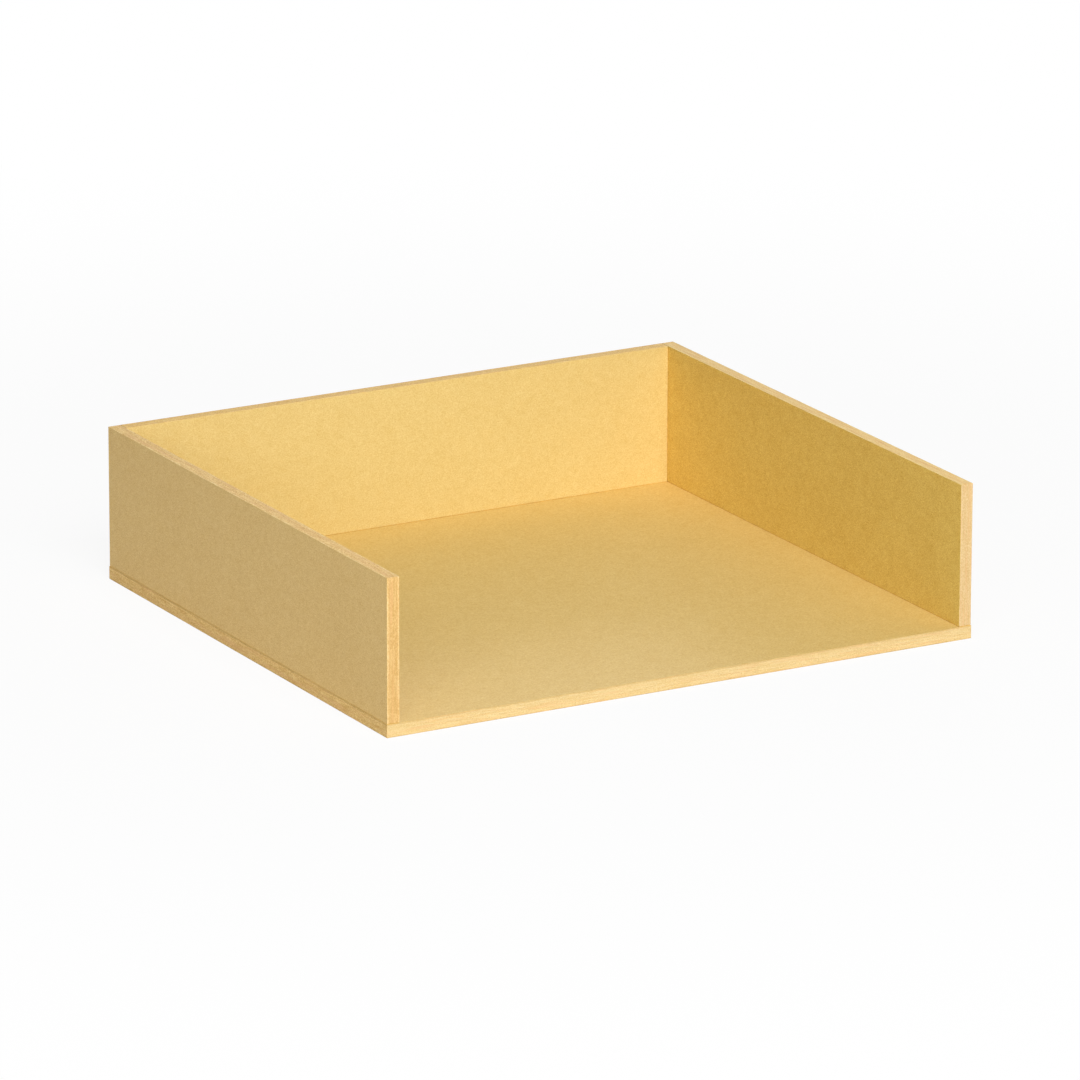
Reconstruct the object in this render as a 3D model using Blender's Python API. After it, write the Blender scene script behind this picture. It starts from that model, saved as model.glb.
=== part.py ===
"""An open-fronted letter tray of four dyed fibreboard panels, butt-jointed, dowelled and glued.

The tray stands on the XY plane with its open front towards -Y and its back towards +Y.
The base panel carries two side panels and a back panel, which fits between the sides.
Every joint holds a film of glue and a row of hidden beech dowels in blind bores.
"""

import math

import bmesh
import bpy
from mathutils import Matrix, Vector

# ---- Overall sizes, in metres ----
TRAY_WIDTH = 0.390
TRAY_DEPTH = 0.350
TRAY_HEIGHT = 0.095

# ---- Boards ----
BOARD_THICKNESS = 0.008
ARRIS_WIDTH = 0.0005  # the sanded break along every edge
ARRIS_STEPS = 2
WALL_REVEAL = 0.0003  # how far the walls stand back from the edges of the base panel

# ---- Glued joints ----
JOINT_GAP = 0.0003  # from board to board
GLUE_CLEARANCE = 0.00005  # from a glue film to each board it joins
GLUE_SETBACK = 0.0006  # how far a film stops short of the edges of its joint

# ---- Dowels and their bores ----
DOWEL_DIAMETER = 0.004
DOWEL_LENGTH = 0.020
DOWEL_CHAMFER = 0.0006
DOWEL_FLUTES = 8
FLUTE_DEPTH = 0.00018
BORE_CLEARANCE = 0.0002  # round a dowel
BORE_END_SPACE = 0.0005  # past each end of a dowel, for surplus glue
BORE_SKIN = 0.0025  # board left under a bore that enters it flatwise
BORE_SIDES = 16
WALL_DOWELS = 4  # along the foot of each wall
WALL_DOWEL_MARGIN = 0.045  # from the end of a wall to its first dowel
CORNER_DOWELS = 2  # up each rear corner
CORNER_DOWEL_MARGIN = 0.022  # from the foot or the top of the back panel to a corner dowel

# ---- Sizes that follow from those above ----
BASE_TOP = BOARD_THICKNESS
WALL_FOOT = BASE_TOP + JOINT_GAP
WALL_HEIGHT = TRAY_HEIGHT - WALL_FOOT
WALL_OUTER_X = TRAY_WIDTH / 2 - WALL_REVEAL
WALL_INNER_X = WALL_OUTER_X - BOARD_THICKNESS
SIDE_DEPTH = TRAY_DEPTH - 2 * WALL_REVEAL
BACK_OUTER_Y = SIDE_DEPTH / 2
BACK_WIDTH = 2 * (WALL_INNER_X - JOINT_GAP)
SIDE_CENTRE_X = WALL_OUTER_X - BOARD_THICKNESS / 2
BACK_CENTRE_Y = BACK_OUTER_Y - BOARD_THICKNESS / 2
WALL_CENTRE_Z = WALL_FOOT + WALL_HEIGHT / 2
FILM_THICKNESS = JOINT_GAP - 2 * GLUE_CLEARANCE
FILM_WIDTH = BOARD_THICKNESS - 2 * GLUE_SETBACK
DOWEL_SEAT = BOARD_THICKNESS - BORE_SKIN - BORE_END_SPACE  # how deep a dowel enters a board flatwise
DOWEL_RADIUS = DOWEL_DIAMETER / 2
BORE_RADIUS = DOWEL_RADIUS + BORE_CLEARANCE
BORE_LENGTH = DOWEL_LENGTH + 2 * BORE_END_SPACE

# ---- Finishes: colour, roughness, metallic ----
YELLOW_FIBREBOARD = ((0.80, 0.55, 0.19, 1.0), 0.85, 0.0)
BEECH = ((0.66, 0.48, 0.31, 1.0), 0.60, 0.0)
WOOD_GLUE = ((0.72, 0.62, 0.42, 1.0), 0.35, 0.0)


def clear_scene():
    """Remove every object that the scene opened with."""
    for existing in list(bpy.data.objects):
        bpy.data.objects.remove(existing)


def make_material(name, finish):
    """Return a Principled material with a finish's colour, roughness and metallic value."""
    colour, roughness, metallic = finish
    material = bpy.data.materials.new(name)
    material.use_nodes = True
    material.diffuse_color = colour
    shader = material.node_tree.nodes["Principled BSDF"]
    shader.inputs["Base Color"].default_value = colour
    shader.inputs["Roughness"].default_value = roughness
    shader.inputs["Metallic"].default_value = metallic
    return material


def add_object(name, mesh, centre):
    """Link a mesh into the scene as an object at a place."""
    placed = bpy.data.objects.new(name, mesh)
    placed.location = centre
    bpy.context.collection.objects.link(placed)
    return placed


def block_mesh(name, size):
    """Return the mesh of a rectangular block about its own centre."""
    mesh = bpy.data.meshes.new(name)
    shape = bmesh.new()
    bmesh.ops.create_cube(shape, size=1.0)
    bmesh.ops.scale(shape, vec=size, verts=shape.verts)
    shape.to_mesh(mesh)
    shape.free()
    return mesh


def drill(target, bores):
    """Cut the dowel bores out of a board or a glue film."""
    cut = target.modifiers.new("dowel_bores", "BOOLEAN")
    cut.operation = "DIFFERENCE"
    cut.solver = "EXACT"
    cut.object = bores


def make_board(name, size, centre, bores):
    """Make one panel with a sanded arris on every edge and blind bores for its dowels."""
    board = add_object(name, block_mesh(name, size), centre)
    board.data.materials.append(make_material(name + "_fibreboard", YELLOW_FIBREBOARD))
    arris = board.modifiers.new("arris", "BEVEL")
    arris.width = ARRIS_WIDTH
    arris.segments = ARRIS_STEPS
    arris.limit_method = "NONE"
    drill(board, bores)
    return board


def make_glue_film(name, size, centre, bores):
    """Make the film of glue in one joint, open where the dowels pass through it."""
    film = add_object(name, block_mesh(name, size), centre)
    film.data.materials.append(make_material(name + "_glue", WOOD_GLUE))
    drill(film, bores)
    return film


def spread(first, last, count):
    """Return evenly spaced places from first to last, or the middle for a single one."""
    if count == 1:
        return [(first + last) / 2]
    step = (last - first) / (count - 1)
    return [first + step * index for index in range(count)]


def dowel_places():
    """Return the name, centre and direction of every dowel in the tray."""
    upright = Vector((0, 0, 1))
    across = Vector((1, 0, 0))
    upright_z = BASE_TOP - DOWEL_SEAT + DOWEL_LENGTH / 2
    across_x = WALL_INNER_X + DOWEL_SEAT - DOWEL_LENGTH / 2
    along_side = SIDE_DEPTH / 2 - WALL_DOWEL_MARGIN
    along_back = BACK_WIDTH / 2 - WALL_DOWEL_MARGIN
    lowest = WALL_FOOT + CORNER_DOWEL_MARGIN
    highest = TRAY_HEIGHT - CORNER_DOWEL_MARGIN
    places = []
    for side, sign in (("left", -1), ("right", 1)):
        for number, y in enumerate(spread(-along_side, along_side, WALL_DOWELS), 1):
            centre = Vector((sign * SIDE_CENTRE_X, y, upright_z))
            places.append((f"{side}_side_dowel_{number}", centre, upright))
        for number, z in enumerate(spread(lowest, highest, CORNER_DOWELS), 1):
            centre = Vector((sign * across_x, BACK_CENTRE_Y, z))
            places.append((f"{side}_corner_dowel_{number}", centre, across))
    for number, x in enumerate(spread(-along_back, along_back, WALL_DOWELS), 1):
        centre = Vector((x, BACK_CENTRE_Y, upright_z))
        places.append((f"back_dowel_{number}", centre, upright))
    return places


def turn_to(direction):
    """Return the rotation that turns the local Z axis to a direction."""
    return Vector((0, 0, 1)).rotation_difference(direction).to_matrix().to_4x4()


def make_bores(places):
    """Make the hidden cutter that holds the bore of every dowel."""
    mesh = bpy.data.meshes.new("dowel_bore_cutter")
    shape = bmesh.new()
    for _, centre, direction in places:
        bmesh.ops.create_cone(
            shape,
            cap_ends=True,
            segments=BORE_SIDES,
            radius1=BORE_RADIUS,
            radius2=BORE_RADIUS,
            depth=BORE_LENGTH,
            matrix=Matrix.Translation(centre) @ turn_to(direction),
        )
    shape.to_mesh(mesh)
    shape.free()
    cutter = add_object("dowel_bore_cutter", mesh, (0, 0, 0))
    cutter.hide_render = True
    cutter.display_type = "WIRE"
    return cutter


def dowel_mesh():
    """Return the mesh of a fluted dowel with chamfered ends, about its centre along Z."""
    end = DOWEL_LENGTH / 2
    shoulder = end - DOWEL_CHAMFER
    profile = ((-end, DOWEL_CHAMFER), (-shoulder, 0), (shoulder, 0), (end, DOWEL_CHAMFER))
    shape = bmesh.new()
    rings = []
    for z, inset in profile:
        ring = []
        for point in range(2 * DOWEL_FLUTES):
            angle = math.pi * point / DOWEL_FLUTES
            radius = DOWEL_RADIUS - inset - FLUTE_DEPTH * (point % 2)
            ring.append(shape.verts.new((radius * math.cos(angle), radius * math.sin(angle), z)))
        rings.append(ring)
    for lower, upper in zip(rings, rings[1:]):
        for point in range(len(lower)):
            following = (point + 1) % len(lower)
            shape.faces.new((lower[point], lower[following], upper[following], upper[point]))
    shape.faces.new(reversed(rings[0]))
    shape.faces.new(rings[-1])
    mesh = bpy.data.meshes.new("fluted_dowel")
    shape.to_mesh(mesh)
    shape.free()
    mesh.shade_smooth()
    mesh.set_sharp_from_angle(angle=math.radians(40))
    mesh.materials.append(make_material("beech_dowel", BEECH))
    return mesh


def make_dowels(places):
    """Make every dowel from one shared mesh."""
    mesh = dowel_mesh()
    for name, centre, direction in places:
        dowel = add_object(name, mesh, centre)
        dowel.rotation_mode = "QUATERNION"
        dowel.rotation_quaternion = turn_to(direction).to_quaternion()


def make_boards(bores):
    """Make the base panel and the three walls that stand on it."""
    base_size = (TRAY_WIDTH, TRAY_DEPTH, BOARD_THICKNESS)
    side_size = (BOARD_THICKNESS, SIDE_DEPTH, WALL_HEIGHT)
    back_size = (BACK_WIDTH, BOARD_THICKNESS, WALL_HEIGHT)
    make_board("base_panel", base_size, (0, 0, BASE_TOP / 2), bores)
    make_board("left_side_panel", side_size, (-SIDE_CENTRE_X, 0, WALL_CENTRE_Z), bores)
    make_board("right_side_panel", side_size, (SIDE_CENTRE_X, 0, WALL_CENTRE_Z), bores)
    make_board("back_panel", back_size, (0, BACK_CENTRE_Y, WALL_CENTRE_Z), bores)


def make_glue_films(bores):
    """Make the films under the three walls and up the two rear corners."""
    film_z = BASE_TOP + JOINT_GAP / 2
    corner_x = WALL_INNER_X - JOINT_GAP / 2
    under_side = (FILM_WIDTH, SIDE_DEPTH - 2 * GLUE_SETBACK, FILM_THICKNESS)
    under_back = (BACK_WIDTH - 2 * GLUE_SETBACK, FILM_WIDTH, FILM_THICKNESS)
    up_corner = (FILM_THICKNESS, FILM_WIDTH, WALL_HEIGHT - 2 * GLUE_SETBACK)
    make_glue_film("left_side_glue_line", under_side, (-SIDE_CENTRE_X, 0, film_z), bores)
    make_glue_film("right_side_glue_line", under_side, (SIDE_CENTRE_X, 0, film_z), bores)
    make_glue_film("back_glue_line", under_back, (0, BACK_CENTRE_Y, film_z), bores)
    make_glue_film("left_corner_glue_line", up_corner, (-corner_x, BACK_CENTRE_Y, WALL_CENTRE_Z), bores)
    make_glue_film("right_corner_glue_line", up_corner, (corner_x, BACK_CENTRE_Y, WALL_CENTRE_Z), bores)


def make_tray():
    """Make the whole tray in the scene."""
    clear_scene()
    places = dowel_places()
    bores = make_bores(places)
    make_boards(bores)
    make_glue_films(bores)
    make_dowels(places)


make_tray()
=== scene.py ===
"""Looks of an open-fronted letter tray made of yellow dyed fibreboard.

Four boards are modelled again with finely sanded arrises and dressed as through-dyed fibreboard: sanded
faces, and sawn edges that show how the board changes from its skins to its core. The tone of each face and
edge also holds painted light and shade. A bead of surplus glue fills each joint to just under the surface,
with painted shade where it comes out at the top of the tray. The dowels and the glue films inside the
joints keep the shape that the frame gives them and get finishes of their own.
"""

import logging
import math
from collections.abc import Iterable, Mapping
from dataclasses import dataclass
from enum import Enum
from typing import Union

import bmesh
import bpy
from mathutils import Matrix, Vector, noise


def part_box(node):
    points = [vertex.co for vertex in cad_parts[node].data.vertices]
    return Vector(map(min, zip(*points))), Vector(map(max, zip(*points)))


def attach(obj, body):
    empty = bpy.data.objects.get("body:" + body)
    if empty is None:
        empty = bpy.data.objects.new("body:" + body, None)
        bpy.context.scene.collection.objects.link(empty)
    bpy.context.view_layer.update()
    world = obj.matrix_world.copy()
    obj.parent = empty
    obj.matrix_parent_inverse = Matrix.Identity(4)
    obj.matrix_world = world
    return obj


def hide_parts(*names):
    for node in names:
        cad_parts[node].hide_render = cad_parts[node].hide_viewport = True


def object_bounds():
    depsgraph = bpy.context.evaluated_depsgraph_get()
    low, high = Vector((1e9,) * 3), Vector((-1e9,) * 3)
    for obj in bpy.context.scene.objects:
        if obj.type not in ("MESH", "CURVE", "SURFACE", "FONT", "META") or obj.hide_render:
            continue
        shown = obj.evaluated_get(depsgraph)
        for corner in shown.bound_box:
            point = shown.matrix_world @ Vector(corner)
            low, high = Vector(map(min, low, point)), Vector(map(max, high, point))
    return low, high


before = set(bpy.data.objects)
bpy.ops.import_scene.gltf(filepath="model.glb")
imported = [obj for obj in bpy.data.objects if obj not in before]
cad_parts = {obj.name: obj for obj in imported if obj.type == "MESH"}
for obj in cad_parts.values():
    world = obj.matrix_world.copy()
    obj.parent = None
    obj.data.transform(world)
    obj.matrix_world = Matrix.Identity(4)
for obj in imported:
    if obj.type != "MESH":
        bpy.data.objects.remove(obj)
packed_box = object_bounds()

log = logging.getLogger("letter_tray")

BODY = "root"
MILLIMETRE = 0.001

# How much each finer layer of a noise adds, and the middle of its range, which is also half of a mix.
NOISE_ROUGHNESS = 0.6
MIDDLE = 0.5

# How fast red, green and blue change as the dye fades, and the limits that no channel passes.
FADE = (1.0, 1.7, 3.4)
DARKEST = 0.01
PALEST = 0.97

Triple = tuple[float, float, float]
Colour = Triple
Fed = Union["Wire", bpy.types.NodeSocket, float, int, tuple[float, ...]]

WHITE: Colour = (1.0, 1.0, 1.0)
EVEN: Triple = (1.0, 1.0, 1.0)
NO_SHIFT: Triple = (0.0, 0.0, 0.0)


# ---------------------------------------------------------------------------------------------------------
# Node trees written as expressions
# ---------------------------------------------------------------------------------------------------------


class Wire:
    """A number in a node tree. Arithmetic on it adds Math nodes."""

    def __init__(self, sheet: "NodeSheet", socket: bpy.types.NodeSocket) -> None:
        """Wrap one socket.

        Args:
            sheet: The node tree that the socket belongs to.
            socket: The socket that carries the number.
        """
        self.sheet = sheet
        self.socket = socket

    def _math(self, operation: str, first: Fed, second: Fed) -> "Wire":
        """Return the result of one Math node.

        Args:
            operation: The Math node's operation.
            first: The left operand.
            second: The right operand.

        Returns:
            The node's result.
        """
        made = self.sheet.node("ShaderNodeMath", {"operation": operation}, {0: first, 1: second})
        return Wire(self.sheet, made.outputs[0])

    def __add__(self, other: Fed) -> "Wire":
        """Return self + other."""
        return self._math("ADD", self, other)

    def __radd__(self, other: Fed) -> "Wire":
        """Return other + self."""
        return self._math("ADD", other, self)

    def __sub__(self, other: Fed) -> "Wire":
        """Return self - other."""
        return self._math("SUBTRACT", self, other)

    def __rsub__(self, other: Fed) -> "Wire":
        """Return other - self."""
        return self._math("SUBTRACT", other, self)

    def __mul__(self, other: Fed) -> "Wire":
        """Return self * other."""
        return self._math("MULTIPLY", self, other)

    def __rmul__(self, other: Fed) -> "Wire":
        """Return other * self."""
        return self._math("MULTIPLY", other, self)

    def __truediv__(self, other: Fed) -> "Wire":
        """Return self / other."""
        return self._math("DIVIDE", self, other)

    def __rtruediv__(self, other: Fed) -> "Wire":
        """Return other / self."""
        return self._math("DIVIDE", other, self)

    def __abs__(self) -> "Wire":
        """Return the size of the number, without its sign."""
        return self._math("ABSOLUTE", self, 0.0)

    def larger(self, other: Fed) -> "Wire":
        """Return the larger of this number and another.

        Args:
            other: The number to compare with.

        Returns:
            The larger one.
        """
        return self._math("MAXIMUM", self, other)

    def rise(self, low: float, high: float) -> "Wire":
        """Return a smooth step from 0 at low to 1 at high.

        Args:
            low: Where the step starts.
            high: Where it ends.

        Returns:
            A number between 0 and 1.
        """
        settings = {"interpolation_type": "SMOOTHSTEP", "clamp": True}
        sockets = {"Value": self, "From Min": low, "From Max": high, "To Min": 0.0, "To Max": 1.0}
        return Wire(self.sheet, self.sheet.node("ShaderNodeMapRange", settings, sockets).outputs["Result"])


@dataclass(frozen=True)
class Pattern:
    """One layer of soft noise in a finish.

    Attributes:
        per_metre: How many of its features fit in a metre.
        detail: How many finer layers are added.
        stir: How much it is distorted.
        squeeze: Its frequency along each axis, as a share of per_metre. A small share draws it out.
        share: How strongly it shows where the finish uses it.
    """

    per_metre: float
    detail: float = 3.0
    stir: float = 0.0
    squeeze: Triple = EVEN
    share: float = 1.0


class NodeSheet:
    """The node tree of one material or world.

    A Mix node repeats its input names for each kind of value, so mix reaches the colour ones by number.
    """

    MIX_AMOUNT = 0
    MIX_UNDER = 6
    MIX_OVER = 7
    MIX_RESULT = 2

    def __init__(self, owner: Union[bpy.types.Material, bpy.types.World]) -> None:
        """Open an empty node tree.

        Args:
            owner: The material or world that the nodes belong to.
        """
        owner.use_nodes = True
        self.tree = owner.node_tree
        self.tree.nodes.clear()

    def node(
        self,
        kind: str,
        settings: Mapping[str, object] | None = None,
        sockets: Mapping[Union[str, int], Fed] | None = None,
    ) -> bpy.types.Node:
        """Add one node.

        Args:
            kind: The node's type.
            settings: Properties of the node, which are set before its sockets.
            sockets: What each input is set or linked to, by name or number.

        Returns:
            The new node.
        """
        made = self.tree.nodes.new(kind)
        for name, value in (settings or {}).items():
            setattr(made, name, value)
        for name, value in (sockets or {}).items():
            self._feed(made.inputs[name], value)
        return made

    def _feed(self, target: bpy.types.NodeSocket, value: Fed) -> None:
        """Set an input to a constant, or link it to a socket.

        Args:
            target: The input.
            value: A number, a colour, a vector, a wire or a socket.
        """
        source = value.socket if isinstance(value, Wire) else value
        if isinstance(source, bpy.types.NodeSocket):
            self.tree.links.new(source, target)
        elif isinstance(source, tuple) and target.type == "RGBA":
            target.default_value = (*source, 1.0)
        else:
            target.default_value = source

    def mix(self, amount: Fed, under: Fed, over: Fed) -> bpy.types.NodeSocket:
        """Lay one colour over another.

        Args:
            amount: How much of the upper colour shows, from 0 to 1.
            under: The lower colour.
            over: The upper colour.

        Returns:
            The resulting colour.
        """
        sockets = {self.MIX_AMOUNT: amount, self.MIX_UNDER: under, self.MIX_OVER: over}
        return self.node("ShaderNodeMix", {"data_type": "RGBA"}, sockets).outputs[self.MIX_RESULT]

    def board_place(self, shift: Triple = NO_SHIFT) -> bpy.types.NodeSocket:
        """Return the point being shaded in its own board's frame, in metres.

        Args:
            shift: An offset that gives each board a pattern of its own.

        Returns:
            The point as a vector.
        """
        place = self.node("ShaderNodeTexCoord").outputs["Object"]
        return self.node("ShaderNodeVectorMath", {"operation": "ADD"}, {0: place, 1: shift}).outputs[0]

    def stretched(self, place: Fed, factors: Triple) -> bpy.types.NodeSocket:
        """Scale a point by a different factor along each axis.

        Args:
            place: The point.
            factors: The three factors.

        Returns:
            The scaled point.
        """
        sockets = {0: place, 1: factors}
        return self.node("ShaderNodeVectorMath", {"operation": "MULTIPLY"}, sockets).outputs[0]

    def grain(self, place: Fed, pattern: Pattern) -> Wire:
        """Return soft noise between 0 and 1.

        Args:
            place: The point to read it at, in metres.
            pattern: The size and form of the noise.

        Returns:
            The noise.
        """
        if pattern.squeeze != EVEN:
            place = self.stretched(place, pattern.squeeze)
        sockets = {
            "Vector": place,
            "Scale": pattern.per_metre,
            "Detail": pattern.detail,
            "Roughness": NOISE_ROUGHNESS,
            "Distortion": pattern.stir,
        }
        made = self.node("ShaderNodeTexNoise", {"noise_dimensions": "3D"}, sockets)
        return Wire(self, made.outputs["Fac"])

    def sway(self, place: Fed, pattern: Pattern) -> Wire:
        """Return soft noise between -0.5 and 0.5.

        Args:
            place: The point to read it at, in metres.
            pattern: The size and form of the noise.

        Returns:
            The noise.
        """
        return self.grain(place, pattern) - MIDDLE

    def bump(self, height: Fed, distance: float, strength: float = 1.0) -> bpy.types.NodeSocket:
        """Return the surface normal tilted by a height pattern.

        Args:
            height: The pattern.
            distance: How high a pattern of 1 stands, in metres.
            strength: How much of the tilt shows, from 0 to 1.

        Returns:
            The tilted normal.
        """
        sockets = {"Height": height, "Strength": strength, "Distance": distance}
        return self.node("ShaderNodeBump", None, sockets).outputs["Normal"]

    def finish_with(self, sockets: Mapping[Union[str, int], Fed]) -> None:
        """End the tree in one principled surface.

        Args:
            sockets: What the surface's inputs are set or linked to.
        """
        surface = self.node("ShaderNodeBsdfPrincipled", None, sockets)
        self.node("ShaderNodeOutputMaterial", None, {"Surface": surface.outputs[0]})


# ---------------------------------------------------------------------------------------------------------
# Finishes
# ---------------------------------------------------------------------------------------------------------


def shaded(colour: Colour, share: float) -> Colour:
    """Return a paler, duller version of a dye, or a darker, richer one.

    Args:
        colour: The dye.
        share: How much paler as a share of the colour. A negative share makes it darker.

    Returns:
        The changed colour.
    """
    changed = (value * (1.0 + share * weight) for value, weight in zip(colour, FADE))
    return tuple(min(max(value, DARKEST), PALEST) for value in changed)


@dataclass(frozen=True)
class SandedFace:
    """The sanded face of through-dyed fibreboard: matt, with a fine speckle of fibres.

    Attributes:
        colour: The dye.
        contrast: How far the darkest and lightest fibres are from it, as a share.
        roughness: How matt the face is.
        roughness_sway: How much that changes from fibre to fibre.
        speckle: The tips of single fibres.
        fibres: The fibres and their bundles.
        mottle: The patches of paler and darker fibres.
        clouds: The broad, faint changes over the face.
        bark: The dark flecks of bark.
        bark_limits: The noise at which a fleck starts and at which it is whole.
        bark_shade: How much darker a fleck is, as a share of the dye.
        nap: How high the fibres stand, in metres.
        speckle_nap: How high the speckle stands, as a share of that.
        lift: What keeps the pattern of the nap above 0.
    """

    colour: Colour = (0.770, 0.520, 0.150)
    contrast: float = 0.12
    roughness: float = 0.55
    roughness_sway: float = 0.20
    speckle: Pattern = Pattern(per_metre=1250.0, detail=2.0, share=1.8)
    fibres: Pattern = Pattern(per_metre=560.0, detail=4.0, stir=1.4, share=1.1)
    mottle: Pattern = Pattern(per_metre=190.0, detail=2.0, share=0.38)
    clouds: Pattern = Pattern(per_metre=26.0, detail=2.0, share=0.18)
    bark: Pattern = Pattern(per_metre=480.0, detail=2.0, share=0.45)
    bark_limits: tuple[float, float] = (0.72, 0.80)
    bark_shade: float = 0.22
    nap: float = 0.20 * MILLIMETRE
    speckle_nap: float = 0.5
    lift: float = 0.75

    def material(self, name: str, shift: Triple) -> bpy.types.Material:
        """Make the finish for one board.

        Args:
            name: The material's name.
            shift: An offset that gives the board a pattern of its own.

        Returns:
            The material.
        """
        made = bpy.data.materials.new(name)
        sheet = NodeSheet(made)
        place = sheet.board_place(shift)
        speckle = sheet.sway(place, self.speckle)
        fibres = sheet.sway(place, self.fibres)
        mottle = sheet.sway(place, self.mottle) * self.mottle.share
        clouds = sheet.sway(place, self.clouds) * self.clouds.share
        tone = speckle * self.speckle.share + fibres * self.fibres.share + mottle + clouds + MIDDLE
        colour = sheet.mix(tone, shaded(self.colour, -self.contrast), shaded(self.colour, self.contrast))
        bark = sheet.grain(place, self.bark).rise(*self.bark_limits)
        colour = sheet.mix(bark * self.bark.share, colour, shaded(self.colour, -self.bark_shade))
        height = speckle * self.speckle_nap + fibres + self.lift
        sheet.finish_with(
            {
                "Base Color": colour,
                "Roughness": fibres * self.roughness_sway + self.roughness,
                "Normal": sheet.bump(height, distance=self.nap),
            }
        )
        return made


@dataclass(frozen=True)
class SawnEdge:
    """The sawn and sanded edge of the board: fibres pressed in layers, denser under each face.

    Attributes:
        core: The colour of the core.
        skin: The colour of the dense layer under each face.
        rust: The colour of the redder layers between them.
        contrast: How far the darkest and lightest fibres are from these, as a share.
        from_depth: Where the skin starts, as a share of the way from the core's middle to the face.
        full_depth: Where the skin is complete, as a share of the same way.
        roughness: How matt the edge is.
        roughness_sway: How much that changes from fibre to fibre.
        waver: How the skin's depth wanders along the edge.
        layers: The pressed layers, drawn out along the board.
        fibres: The cut fibres.
        streaks: The redder layers.
        streak_limits: The noise at which a redder layer starts and at which it is whole.
        nap: How high the fibres stand, in metres.
        layer_nap: How high the layers stand, as a share of that.
        lift: What keeps the pattern of the nap above 0.
    """

    core: Colour = (0.820, 0.530, 0.190)
    skin: Colour = (0.880, 0.610, 0.250)
    rust: Colour = (0.780, 0.440, 0.180)
    contrast: float = 0.18
    from_depth: float = 0.58
    full_depth: float = 0.94
    roughness: float = 0.65
    roughness_sway: float = 0.20
    waver: Pattern = Pattern(per_metre=160.0, share=0.20)
    layers: Pattern = Pattern(per_metre=1300.0, squeeze=(0.06, 0.06, 1.0), share=1.9)
    fibres: Pattern = Pattern(per_metre=1700.0, detail=2.0, squeeze=(0.60, 0.60, 1.0), share=3.0)
    streaks: Pattern = Pattern(per_metre=600.0, detail=2.0, squeeze=(0.05, 0.05, 1.0), share=0.35)
    streak_limits: tuple[float, float] = (0.48, 0.66)
    nap: float = 0.40 * MILLIMETRE
    layer_nap: float = 0.6
    lift: float = 0.8

    def material(self, name: str, shift: Triple, thickness: float) -> bpy.types.Material:
        """Make the finish for one board.

        Args:
            name: The material's name.
            shift: An offset that gives the board a pattern of its own.
            thickness: How thick the board is, in metres.

        Returns:
            The material.
        """
        made = bpy.data.materials.new(name)
        sheet = NodeSheet(made)
        place = sheet.board_place(shift)
        through = sheet.node("ShaderNodeSeparateXYZ", None, {0: sheet.board_place()})
        depth = abs(Wire(sheet, through.outputs["Z"])) / (thickness / 2)
        uneven = sheet.sway(place, self.waver) * self.waver.share
        skin = (depth + uneven).rise(self.from_depth, self.full_depth)
        layers = sheet.sway(place, self.layers)
        fibres = sheet.sway(place, self.fibres)
        streaks = sheet.grain(place, self.streaks).rise(*self.streak_limits)
        tone = layers * self.layers.share + fibres * self.fibres.share + MIDDLE
        dark = sheet.mix(skin, shaded(self.core, -self.contrast), shaded(self.skin, -self.contrast))
        pale = sheet.mix(skin, shaded(self.core, self.contrast), shaded(self.skin, self.contrast))
        colour = sheet.mix(streaks * self.streaks.share, sheet.mix(tone, dark, pale), self.rust)
        height = layers * self.layer_nap + fibres + self.lift
        sheet.finish_with(
            {
                "Base Color": colour,
                "Roughness": fibres * self.roughness_sway + self.roughness,
                "Normal": sheet.bump(height, distance=self.nap),
            }
        )
        return made


class GrainRun(Enum):
    """Which way the grain of a dowel runs, as the stretch of its pattern along each axis."""

    UPRIGHT = (1.0, 1.0, 0.08)
    ACROSS = (0.08, 1.0, 1.0)


@dataclass(frozen=True)
class Beech:
    """Plain steamed beech, with short dark rays in the grain.

    Attributes:
        colour: The colour of the wood.
        ray: The colour of the rays and the late wood.
        roughness: How matt the wood is at its smoothest.
        roughness_sway: How much rougher the late wood is.
        rings: The late wood.
        ring_limits: The noise at which the late wood starts and at which it is whole.
        rays: The short rays.
        ray_limits: The noise at which a ray starts and at which it is whole.
        relief: How high the late wood stands, in metres.
        relief_shows: How much of that the surface shows.
    """

    colour: Colour = (0.620, 0.400, 0.225)
    ray: Colour = (0.380, 0.210, 0.105)
    roughness: float = 0.45
    roughness_sway: float = 0.2
    rings: Pattern = Pattern(per_metre=900.0, detail=4.0, stir=0.4, share=0.35)
    ring_limits: tuple[float, float] = (0.35, 0.75)
    rays: Pattern = Pattern(per_metre=3200.0, detail=2.0, share=0.5)
    ray_limits: tuple[float, float] = (0.60, 0.70)
    relief: float = 0.1 * MILLIMETRE
    relief_shows: float = 0.4

    def material(self, run: GrainRun) -> bpy.types.Material:
        """Make the finish for dowels whose grain runs one way.

        Args:
            run: Which way the grain runs.

        Returns:
            The material.
        """
        made = bpy.data.materials.new(f"beech_{run.name.lower()}")
        sheet = NodeSheet(made)
        place = sheet.stretched(sheet.board_place(), run.value)
        rings = sheet.grain(place, self.rings)
        rays = sheet.grain(place, self.rays).rise(*self.ray_limits)
        colour = sheet.mix(rings.rise(*self.ring_limits) * self.rings.share, self.colour, self.ray)
        colour = sheet.mix(rays * self.rays.share, colour, self.ray)
        sheet.finish_with(
            {
                "Base Color": colour,
                "Roughness": rings * self.roughness_sway + self.roughness,
                "Normal": sheet.bump(rings, distance=self.relief, strength=self.relief_shows),
            }
        )
        return made


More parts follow.
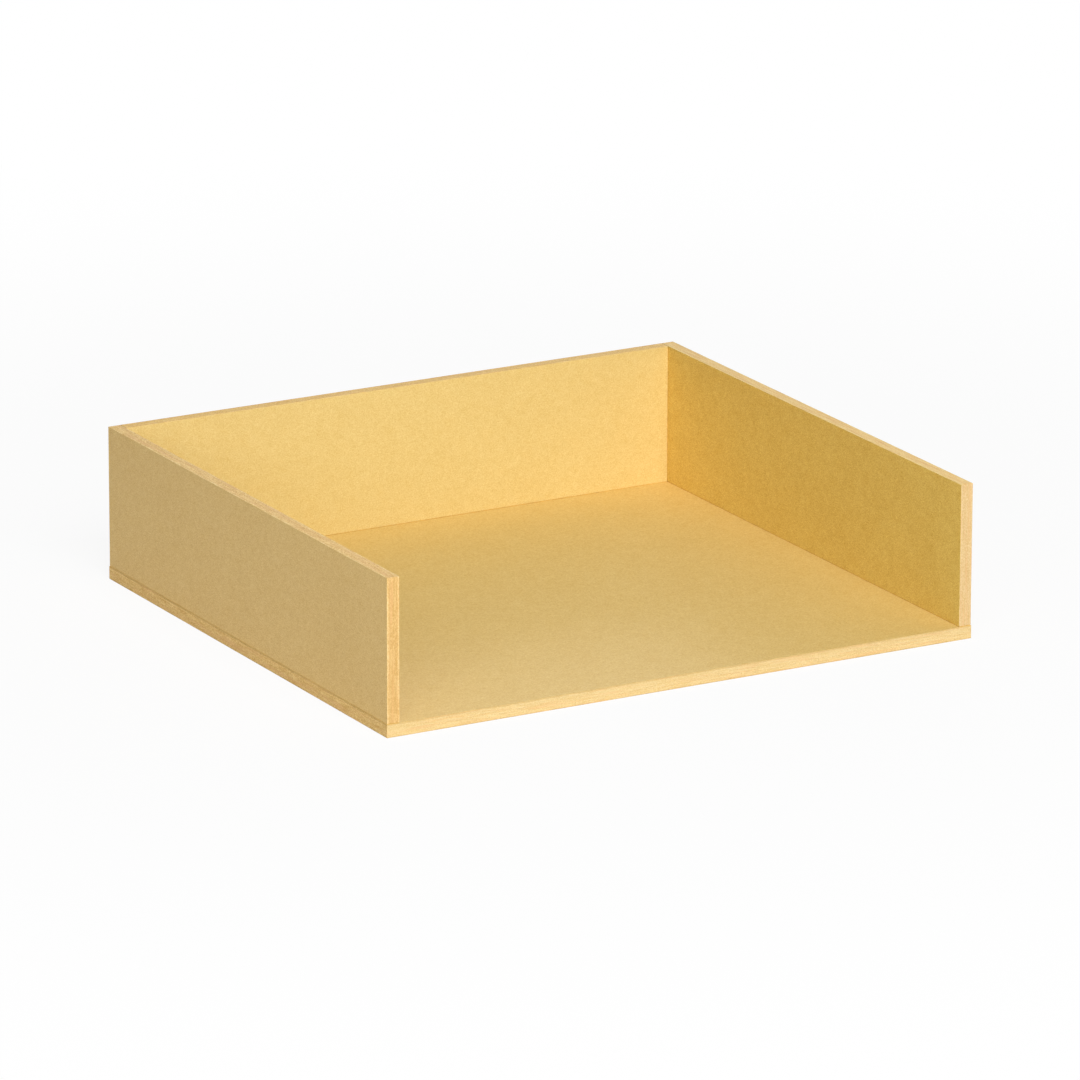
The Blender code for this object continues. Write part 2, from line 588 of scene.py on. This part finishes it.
@dataclass(frozen=True)
class DriedGlue:
    """Dried wood glue in a joint, full of dyed dust from sanding, and painted darker as painted shade where
    it comes out at the top of the tray.

    Attributes:
        name: The finish's name.
        colour: The colour of the glue.
        stain: The colour where the most dust has gone into it.
        rim: The colour where it comes out along the top of the tray: painted shade that stands for the
            shadow in the joint's gap there.
        rim_shade_depth: How far down from the top of the tray that goes, in metres.
        rim_shade_blur: Over how much of that it sets in, in metres.
        roughness: How matt the glue is at its smoothest.
        roughness_sway: How much rougher it is where it has drawn in.
        pools: How it ran while it was wet.
        pool_limits: The noise at which the stain starts and at which it is whole.
        ripple: How high the glue stands in its pools, in metres.
        ripple_shows: How much of that the surface shows.
    """

    name: str = "dried_glue"
    colour: Colour = (0.700, 0.415, 0.070)
    stain: Colour = (0.550, 0.290, 0.040)
    # Painted shade: the rim colour stands for the shadow in the joint's gap at the top of the tray.
    rim: Colour = (0.400, 0.210, 0.040)
    rim_shade_depth: float = 1.2 * MILLIMETRE
    rim_shade_blur: float = 0.4 * MILLIMETRE
    roughness: float = 0.3
    roughness_sway: float = 0.3
    pools: Pattern = Pattern(per_metre=140.0, stir=0.8)
    pool_limits: tuple[float, float] = (0.35, 0.65)
    ripple: float = 0.1 * MILLIMETRE
    ripple_shows: float = 0.3

    def material(self) -> bpy.types.Material:
        """Make the finish.

        Returns:
            The material.
        """
        made = bpy.data.materials.new(self.name)
        sheet = NodeSheet(made)
        place = sheet.board_place()
        pools = sheet.grain(place, self.pools)
        # Painted shade: near the tray's top the glue turns to the darker rim colour, for the shadow in the
        # joint's gap.
        top = packed_box[1][2]
        rim_shade_from = top - self.rim_shade_depth
        height = Wire(sheet, sheet.node("ShaderNodeSeparateXYZ", None, {0: place}).outputs["Z"])
        glue = sheet.mix(pools.rise(*self.pool_limits), self.colour, self.stain)
        sheet.finish_with(
            {
                "Base Color": sheet.mix(height.rise(rim_shade_from, rim_shade_from + self.rim_shade_blur), glue, self.rim),
                "Roughness": pools * self.roughness_sway + self.roughness,
                "Normal": sheet.bump(pools, distance=self.ripple, strength=self.ripple_shows),
            }
        )
        return made


# ---------------------------------------------------------------------------------------------------------
# The four boards
# ---------------------------------------------------------------------------------------------------------


class Lies(Enum):
    """How a board stands in the tray: the directions of its length, its breadth and its thickness."""

    FLAT = ((1, 0, 0), (0, 1, 0), (0, 0, 1))
    ALONG_THE_DEPTH = ((0, 1, 0), (0, 0, 1), (1, 0, 0))
    ACROSS_THE_BACK = ((1, 0, 0), (0, 0, 1), (0, -1, 0))

    def turn(self) -> Matrix:
        """Return the rotation from the board's own frame to the tray's."""
        return Matrix(self.value).transposed()


class Edge(Enum):
    """An edge of a board, as the axis and the sign of the direction it faces in the board's own frame."""

    NEAR_END = (0, -1)
    FAR_END = (0, 1)
    LOWER = (1, -1)


def smooth_step(value: float, low: float, high: float) -> float:
    """Return a smooth step from 0 at low to 1 at high.

    Args:
        value: The number to test.
        low: Where the step starts.
        high: Where it ends.

    Returns:
        A number between 0 and 1.
    """
    share = min(max((value - low) / (high - low), 0.0), 1.0)
    return share * share * (3.0 - 2.0 * share)


@dataclass
class Panel:
    """One board of the tray, shaped to the box of its node, with a rounded arris along every free edge.

    Attributes:
        node: The node that the board replaces, which also names it.
        lies: How the board stands.
        glued: The edges that are glued to another board and keep a crisp corner.
        outward: Which way along its thickness the board's outer face looks, as a sign.
        shift: An offset that gives the board's fibres a pattern of their own.
        outer: The finish of the face that looks out of the tray.
        inner: The finish of the other face.
        edge: The finish of its long cut edges.
        end: The finish of the edges at its two ends.
        arris: The radius of a free arris, in metres.
        crisp: The radius of a glued corner, in metres.
        crisp_within: How far from a glued edge a corner is quite crisp, in metres.
        sanded_beyond: How far from it the arris has its full radius, in metres.
        unevenness: How much the hand-sanded arris varies, as a share of its radius.
        waves: How often it varies, per metre.
        arc_steps: Facets from the middle of an arris to the flat beside it.
        spacing: The distance between cross sections, in metres.
    """

    THICKNESS_AXIS = 2
    OUTER_SLOT = 3
    WELD_DIGITS = 7

    node: str
    lies: Lies
    glued: tuple[Edge, ...]
    outward: int
    shift: Triple
    outer: SandedFace
    inner: SandedFace
    edge: SawnEdge
    end: SawnEdge
    arris: float = 0.25 * MILLIMETRE
    crisp: float = 0.08 * MILLIMETRE
    crisp_within: float = 0.3 * MILLIMETRE
    sanded_beyond: float = 2.5 * MILLIMETRE
    unevenness: float = 0.30
    waves: float = 45.0
    arc_steps: int = 3
    spacing: float = 8.0 * MILLIMETRE

    def __post_init__(self) -> None:
        """Read the board's place and size from its node."""
        low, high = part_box(self.node)
        extent = high - low
        self.centre = (low + high) / 2
        self.half = Vector([abs(extent.dot(Vector(axis))) / 2 for axis in self.lies.value])

    def stations(self, half: float) -> list[float]:
        """Return where the cross sections along one axis lie.

        Args:
            half: Half of the board's size along that axis.

        Returns:
            Places from -half to half, close together where the arrises bend.
        """
        widest = self.arris * (1.0 + self.unevenness)
        turns = [math.pi / 4 * (1 - step / self.arc_steps) for step in range(self.arc_steps + 1)]
        bends = [widest * (1.0 - math.tan(turn)) for turn in turns]
        flat = half - widest
        count = max(2, round(2 * flat / self.spacing))
        middle = [-flat + 2 * flat * index / count for index in range(1, count)]
        return [-half + bend for bend in bends] + middle + [half - bend for bend in reversed(bends)]

    def radius(self, point: Vector) -> float:
        """Return how round the arris is near a point.

        Args:
            point: A point on the board's box.

        Returns:
            The radius in metres.
        """
        free = 1.0
        for edge in self.glued:
            axis, sign = edge.value
            distance = self.half[axis] - sign * point[axis]
            free *= smooth_step(distance, self.crisp_within, self.sanded_beyond)
        wobble = noise.noise((point + Vector(self.shift)) * self.waves) * self.unevenness
        return self.crisp + (self.arris * (1.0 + wobble) - self.crisp) * free

    def rounded(self, point: Vector) -> tuple[Vector, Vector]:
        """Move a point of the plain box on to the rounded board.

        Args:
            point: A point on the box.

        Returns:
            The moved point and the surface normal there.
        """
        radius = self.radius(point)
        limits = [half - radius for half in self.half]
        inner = Vector([min(max(value, -limit), limit) for value, limit in zip(point, limits)])
        normal = (point - inner).normalized()
        return inner + normal * radius, normal

    def sides(self) -> Iterable[tuple[int, int, int, int]]:
        """Yield the six sides of the box.

        Returns:
            For each side the axis that it faces, the sign on that axis and the two axes across the side.
        """
        for facing in range(3):
            across, up = (facing + 1) % 3, (facing + 2) % 3
            yield facing, 1, across, up
            yield facing, -1, up, across

    def shape(self) -> bpy.types.Mesh:
        """Build the board's mesh in its own frame.

        Returns:
            The mesh, with its ends in slot 0, its long edges in slot 1, its inner face in slot 2 and its
            outer face in slot 3.
        """
        stations = [self.stations(half) for half in self.half]
        build = bmesh.new()
        corners: dict[Triple, bmesh.types.BMVert] = {}
        normals: list[Vector] = []

        def corner(place: Vector) -> bmesh.types.BMVert:
            """Return the vertex for a place on the plain box, made once.

            Args:
                place: The place, in the board's own frame.

            Returns:
                The vertex, moved on to the rounded board.
            """
            key = tuple(round(value, self.WELD_DIGITS) for value in place)
            if key not in corners:
                moved, normal = self.rounded(place)
                corners[key] = build.verts.new(moved)
                normals.append(normal)
            return corners[key]

        for facing, sign, first, second in self.sides():
            looks_out = facing == self.THICKNESS_AXIS and sign == self.outward
            for left, right in zip(stations[first], stations[first][1:]):
                for low, high in zip(stations[second], stations[second][1:]):
                    ring = []
                    for u, v in ((left, low), (right, low), (right, high), (left, high)):
                        place = Vector()
                        place[facing] = sign * self.half[facing]
                        place[first] = u
                        place[second] = v
                        ring.append(corner(place))
                    quad = build.faces.new(ring)
                    quad.smooth = True
                    quad.material_index = self.OUTER_SLOT if looks_out else facing
        mesh = bpy.data.meshes.new(self.node + "_board")
        build.to_mesh(mesh)
        build.free()
        mesh.normals_split_custom_set_from_vertices(normals)
        return mesh

    def build(self) -> bpy.types.Object:
        """Build, dress and place the board, and let it stand for its node.

        Returns:
            The finished board.
        """
        board = bpy.data.objects.new(self.node + "_board", self.shape())
        bpy.context.scene.collection.objects.link(board)
        thickness = 2 * self.half.z
        board.data.materials.append(self.end.material(self.node + "_end", self.shift, thickness))
        board.data.materials.append(self.edge.material(self.node + "_edge", self.shift, thickness))
        board.data.materials.append(self.inner.material(self.node + "_inner", self.shift))
        board.data.materials.append(self.outer.material(self.node + "_outer", self.shift))
        board.matrix_world = Matrix.Translation(self.centre) @ self.lies.turn().to_4x4()
        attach(board, BODY)
        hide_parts(self.node)
        return board


@dataclass
class Carcass:
    """The four boards of the tray, each face and edge with a tone of its own.

    Beside the small real differences between pieces of fibreboard, these tones hold painted light and
    shade: the tops of the walls are painted paler than their front ends as if lit from above, the right
    wall's top is painted palest of all, and the tones of the inner faces, the floor, the back and the
    base's edges also carry light and shade that the lamps do not give.

    Attributes:
        outer_face: The finish of every face that looks out of the tray.
        floor_face: The finish of the top of the board under everything.
        wall_face: The finish of the inner faces of the side walls.
        back_face: The finish of the inner face of the back wall.
        base_edge: The finish of the front and back edges of the board under everything.
        left_edge: The finish of the left wall's long edges, whose top is painted paler than the wall's ends
            as painted light from above.
        right_edge: The finish of the right wall's long edges, painted paler than any other edge as painted
            light on that wall's top.
        back_edge: The finish of the back wall's edges, whose top is painted paler as painted light from
            above.
        base_end: The finish of the side edges of the board under everything.
        left_end: The finish of the left wall's ends, painted darker than its top as painted shade on the
            front end.
        right_end: The finish of the right wall's ends, painted darker than its top as painted shade on the
            front end.
    """

    # Painted light and shade: each surface's tone below is set to its own brightness and hue, beyond the
    # real differences between boards.
    outer_face: SandedFace = SandedFace(colour=(0.722, 0.485, 0.160), contrast=0.165)
    floor_face: SandedFace = SandedFace(colour=(0.762, 0.532, 0.174))
    wall_face: SandedFace = SandedFace(colour=(0.755, 0.523, 0.119), contrast=0.20)
    back_face: SandedFace = SandedFace(colour=(0.766, 0.573, 0.214), contrast=0.11)
    base_edge: SawnEdge = SawnEdge(
        core=(0.772, 0.562, 0.246),
        skin=(0.643, 0.436, 0.163),
        contrast=0.075,
        from_depth=0.76,
    )
    # Painted light: the walls' tops are painted paler than their ends.
    left_edge: SawnEdge = SawnEdge(core=(0.815, 0.533, 0.176), skin=(0.850, 0.588, 0.224))
    # Painted light: the right wall's top is painted palest of all.
    right_edge: SawnEdge = SawnEdge(
        core=(0.955, 0.612, 0.208),
        skin=(0.960, 0.660, 0.247),
        rust=(0.700, 0.340, 0.100),
        contrast=0.12,
    )
    back_edge: SawnEdge = SawnEdge(core=(0.830, 0.526, 0.144), skin=(0.845, 0.550, 0.168), contrast=0.165)
    base_end: SawnEdge = SawnEdge(core=(0.768, 0.509, 0.168), skin=(0.576, 0.359, 0.099), from_depth=0.76)
    # Painted shade: the walls' front ends are painted darker than their tops.
    left_end: SawnEdge = SawnEdge(core=(0.700, 0.434, 0.144), skin=(0.830, 0.560, 0.225), contrast=0.125)
    right_end: SawnEdge = SawnEdge(core=(0.742, 0.512, 0.230), skin=(0.763, 0.539, 0.258), contrast=0.09)

    def panels(self) -> tuple[Panel, ...]:
        """Lay out the four boards.

        Returns:
            The boards, not yet built.
        """
        return (
            Panel(
                node="base_panel",
                lies=Lies.FLAT,
                glued=(),
                outward=-1,
                shift=(0.31, 0.17, 0.53),
                outer=self.outer_face,
                inner=self.floor_face,
                edge=self.base_edge,
                end=self.base_end,
            ),
            Panel(
                node="left_side_panel",
                lies=Lies.ALONG_THE_DEPTH,
                glued=(Edge.LOWER,),
                outward=-1,
                shift=(1.73, 0.91, 0.22),
                outer=self.outer_face,
                inner=self.wall_face,
                edge=self.left_edge,
                end=self.left_end,
            ),
            Panel(
                node="right_side_panel",
                lies=Lies.ALONG_THE_DEPTH,
                glued=(Edge.LOWER,),
                outward=1,
                shift=(2.47, 1.39, 0.78),
                outer=self.outer_face,
                inner=self.wall_face,
                edge=self.right_edge,
                end=self.right_end,
            ),
            Panel(
                node="back_panel",
                lies=Lies.ACROSS_THE_BACK,
                glued=(Edge.LOWER, Edge.NEAR_END, Edge.FAR_END),
                outward=-1,
                shift=(3.61, 2.05, 1.44),
                outer=self.outer_face,
                inner=self.back_face,
                edge=self.back_edge,
                end=self.back_edge,
            ),
        )

    def build(self) -> list[bpy.types.Object]:
        """Build every board.

        Returns:
            The boards.
        """
        return [panel.build() for panel in self.panels()]


@dataclass
class GlueBead:
    """The surplus glue round the rim of one joint, wiped and sanded back to just under the boards.

    Attributes:
        film: The node of the glue film that it runs round.
        finish: The glue's material.
        reach: How far it comes out past the film, in metres.
        fills: How far it swells past each side of the film, in metres.
        hollow: How far the middle of its outer side sinks, in metres.
        wander: How much its reach varies along the joint, in metres.
        waves: How often it varies, per metre.
        spacing: The distance between cross sections, in metres.
    """

    film: str
    finish: bpy.types.Material
    reach: float = 0.50 * MILLIMETRE
    fills: float = 0.045 * MILLIMETRE
    hollow: float = 0.05 * MILLIMETRE
    wander: float = 0.05 * MILLIMETRE
    waves: float = 140.0
    spacing: float = 3.0 * MILLIMETRE

    # The bead's cross section: how far out, how far across and how much it sinks, once round from the film.
    SECTION = ((0.0, -1.0, 0.0), (1.0, -1.0, 0.0), (1.0, 0.0, 1.0), (1.0, 1.0, 0.0), (0.0, 1.0, 0.0))

    def path(self, half_u: float, half_v: float) -> list[tuple[float, float, float, float]]:
        """Return the places round the film's rim, with the direction outwards at each.

        Args:
            half_u: Half of the film's first side.
            half_v: Half of its second side.

        Returns:
            Rows of u, v and the outward direction's u and v, once round.
        """
        corners = ((-half_u, -half_v), (half_u, -half_v), (half_u, half_v), (-half_u, half_v))
        rows = []
        for start, end in zip(corners, corners[1:] + corners[:1]):
            run = (end[0] - start[0], end[1] - start[1])
            length = math.hypot(*run)
            outward = (run[1] / length, -run[0] / length)
            before = (outward[1], -outward[0])
            rows.append((*start, outward[0] + before[0], outward[1] + before[1]))
            count = max(2, round(length / self.spacing))
            for index in range(1, count):
                share = index / count
                rows.append((start[0] + run[0] * share, start[1] + run[1] * share, *outward))
        return rows

    def build(self) -> bpy.types.Object:
        """Build, dress and place the bead.

        Returns:
            The bead.
        """
        low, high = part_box(self.film)
        half = (high - low) / 2
        centre = (high + low) / 2
        thin = min(range(3), key=lambda axis: half[axis])
        first, second = (thin + 1) % 3, (thin + 2) % 3
        rise = half[thin] + self.fills
        build = bmesh.new()
        rings = []
        for u, v, out_u, out_v in self.path(half[first], half[second]):
            stray = noise.noise(Vector((u, v, centre.length)) * self.waves) * self.wander
            ring = []
            for out, across, sink in self.SECTION:
                reach = out * (self.reach + stray) - sink * self.hollow
                place = Vector(centre)
                place[first] += u + out_u * reach
                place[second] += v + out_v * reach
                place[thin] += across * rise
                ring.append(build.verts.new(place))
            rings.append(ring)
        for ring, following in zip(rings, rings[1:] + rings[:1]):
            for index in range(len(self.SECTION)):
                after = (index + 1) % len(self.SECTION)
                build.faces.new((ring[index], following[index], following[after], ring[after]))
        bmesh.ops.recalc_face_normals(build, faces=build.faces)
        mesh = bpy.data.meshes.new(self.film.replace("line", "bead"))
        build.to_mesh(mesh)
        build.free()
        bead = bpy.data.objects.new(mesh.name, mesh)
        bead.data.materials.append(self.finish)
        bpy.context.scene.collection.objects.link(bead)
        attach(bead, BODY)
        return bead


@dataclass
class Joinery:
    """The dowels and the glue in the joints.

    Attributes:
        wood: The finish of the dowels.
        glue: The finish of the glue.
        open_seam: The finish of the glue in the right rear corner, whose rim is painted near black as
            painted shade for the open top of that seam.
    """

    wood: Beech = Beech()
    glue: DriedGlue = DriedGlue()
    # Painted shade: this rim is near black and stands for the shadow in the open top of the right rear
    # seam.
    open_seam: DriedGlue = DriedGlue(name="open_seam_glue", rim=(0.060, 0.030, 0.012))

    def build(self) -> list[bpy.types.Object]:
        """Give every dowel and glue film its finish, and lay a bead of glue round each film.

        Returns:
            The dressed nodes and the beads.
        """
        upright = self.wood.material(GrainRun.UPRIGHT)
        across = self.wood.material(GrainRun.ACROSS)
        glue = self.glue.material()
        open_seam = self.open_seam.material()
        finishes = {
            "corner_dowel": across,
            "dowel": upright,
            "right_corner_glue": open_seam,
            "glue_line": glue,
        }
        pieces = []
        for name, part in sorted(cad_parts.items()):
            finish = next((made for word, made in finishes.items() if word in name), None)
            if finish is None:
                continue
            part.data.materials.clear()
            part.data.materials.append(finish)
            pieces.append(part)
            if finish in (glue, open_seam):
                pieces.append(GlueBead(name, finish).build())
        return pieces


# ---------------------------------------------------------------------------------------------------------
# The studio
# ---------------------------------------------------------------------------------------------------------


@dataclass(frozen=True)
class Viewpoint:
    """Where the photograph was taken from.

    Attributes:
        place: The lens's place in metres.
        heading: The way it looks, in degrees from the +Y axis towards +X.
        dip: How far it looks down, in degrees.
        lean: How far it leans over, in degrees.
        lens: The focal length in millimetres.
        sensor: The width of the sensor in millimetres.
    """

    place: Triple = (-2.5292, -4.5009, 1.6163)
    heading: float = 29.359
    dip: float = 16.955
    lean: float = 0.144
    lens: float = 303.89
    sensor: float = 36.0

    def build(self) -> bpy.types.Object:
        """Make the camera.

        Returns:
            The camera.
        """
        data = bpy.data.cameras.new("viewpoint")
        data.lens = self.lens
        data.sensor_width = self.sensor
        camera = bpy.data.objects.new("viewpoint", data)
        bpy.context.scene.collection.objects.link(camera)
        level = Matrix.Rotation(math.radians(90.0 - self.dip), 4, "X")
        aim = Matrix.Rotation(math.radians(-self.heading), 4, "Z")
        lean = Matrix.Rotation(math.radians(self.lean), 4, "Z")
        camera.matrix_world = Matrix.Translation(self.place) @ aim @ level @ lean
        bpy.context.scene.camera = camera
        return camera


@dataclass(frozen=True)
class Softbox:
    """A square lamp with a soft edge, aimed at the tray.

    Attributes:
        name: The lamp's name.
        place: Its place in metres.
        width: The length of its sides in metres.
        watts: Its power.
    """

    name: str
    place: Triple
    width: float
    watts: float

    def build(self) -> bpy.types.Object:
        """Make the lamp.

        Returns:
            The lamp.
        """
        data = bpy.data.lights.new(self.name, "AREA")
        data.shape = "SQUARE"
        data.size = self.width
        data.energy = self.watts
        lamp = bpy.data.objects.new(self.name, data)
        bpy.context.scene.collection.objects.link(lamp)
        aim = (-Vector(self.place)).to_track_quat("-Z", "Y").to_matrix().to_4x4()
        lamp.matrix_world = Matrix.Translation(self.place) @ aim
        return lamp


@dataclass(frozen=True)
class Studio:
    """A pale floor, a white surround and soft lamps.

    Attributes:
        lamps: The lamps.
        sky: How bright the surround lights the tray.
        floor_radius: The radius of the floor in metres.
        floor_sides: The number of sides of the floor's round edge.
        floor_colour: The colour of the floor, as the light that it throws back sees it.
        shadow_depth: How much of the floor's own shading the lens sees round the tray, as a share.
        shadow_from: How far from the tray's middle that shading starts to fade, in metres.
        shadow_to: How far from it the floor is plain white.
    """

    lamps: tuple[Softbox, ...] = (
        Softbox(name="key", place=(-0.55, -2.96, 2.6), width=2.0, watts=127.5),
        Softbox(name="side_fill", place=(-2.6, -2.8, 1.6), width=2.0, watts=43.0),
        Softbox(name="rear_fill", place=(2.2, 3.4, 0.8), width=1.2, watts=25.0),
    )
    sky: float = 0.168
    floor_radius: float = 12.0
    floor_sides: int = 96
    floor_colour: Colour = (0.90, 0.90, 0.90)
    shadow_depth: float = 0.09
    shadow_from: float = 0.35
    shadow_to: float = 1.10

    @staticmethod
    def seen_directly(sheet: NodeSheet) -> Wire:
        """Mask what the lens sees directly, in a reflection or through glass.

        Args:
            sheet: The node tree to add the mask to.

        Returns:
            The mask, which is 0 for the light that the surface throws on other things.
        """
        path = sheet.node("ShaderNodeLightPath")
        seen = Wire(sheet, path.outputs["Is Camera Ray"])
        seen = seen.larger(Wire(sheet, path.outputs["Is Glossy Ray"]))
        return seen.larger(Wire(sheet, path.outputs["Is Transmission Ray"]))

    def light_surround(self) -> None:
        """Make the white surround."""
        world = bpy.data.worlds.new("surround")
        bpy.context.scene.world = world
        sheet = NodeSheet(world)
        strength = self.seen_directly(sheet) * (1.0 - self.sky) + self.sky
        glow = sheet.node("ShaderNodeBackground", None, {"Color": WHITE, "Strength": strength})
        sheet.node("ShaderNodeOutputWorld", None, {"Surface": glow.outputs[0]})

    def lay_floor(self) -> bpy.types.Object:
        """Make the floor, which looks white but keeps the tray's shadow.

        Returns:
            The floor.
        """
        build = bmesh.new()
        bmesh.ops.create_circle(build, cap_ends=True, segments=self.floor_sides, radius=self.floor_radius)
        mesh = bpy.data.meshes.new("studio_floor")
        build.to_mesh(mesh)
        build.free()
        finish = bpy.data.materials.new("studio_floor")
        sheet = NodeSheet(finish)
        matt = sheet.node("ShaderNodeBsdfDiffuse", None, {"Color": self.floor_colour})
        white = sheet.node("ShaderNodeEmission", None, {"Color": WHITE, "Strength": 1.0})
        place = sheet.node("ShaderNodeTexCoord").outputs["Object"]
        length = sheet.node("ShaderNodeVectorMath", {"operation": "LENGTH"}, {0: place})
        far = Wire(sheet, length.outputs["Value"]).rise(self.shadow_from, self.shadow_to)
        amount = self.seen_directly(sheet) * (1.0 - (1.0 - far) * self.shadow_depth)
        sockets = {0: amount, 1: matt.outputs[0], 2: white.outputs[0]}
        surface = sheet.node("ShaderNodeMixShader", None, sockets)
        sheet.node("ShaderNodeOutputMaterial", None, {"Surface": surface.outputs[0]})
        floor = bpy.data.objects.new("studio_floor", mesh)
        floor.data.materials.append(finish)
        bpy.context.scene.collection.objects.link(floor)
        return floor

    def build(self) -> None:
        """Light the scene and lay its floor."""
        bpy.context.scene.view_settings.view_transform = "Standard"
        self.light_surround()
        self.lay_floor()
        for lamp in self.lamps:
            lamp.build()


def main() -> None:
    """Build the tray, its joinery and the studio, and report each piece."""
    logging.basicConfig(level=logging.INFO, format="%(name)s: %(message)s")
    for board in Carcass().build():
        log.info("board %s, %d faces", board.name, len(board.data.polygons))
    for part in Joinery().build():
        log.info("joint piece %s, %s", part.name, part.data.materials[0].name)
    Studio().build()
    Viewpoint().build()


if __name__ == "__main__":
    main()
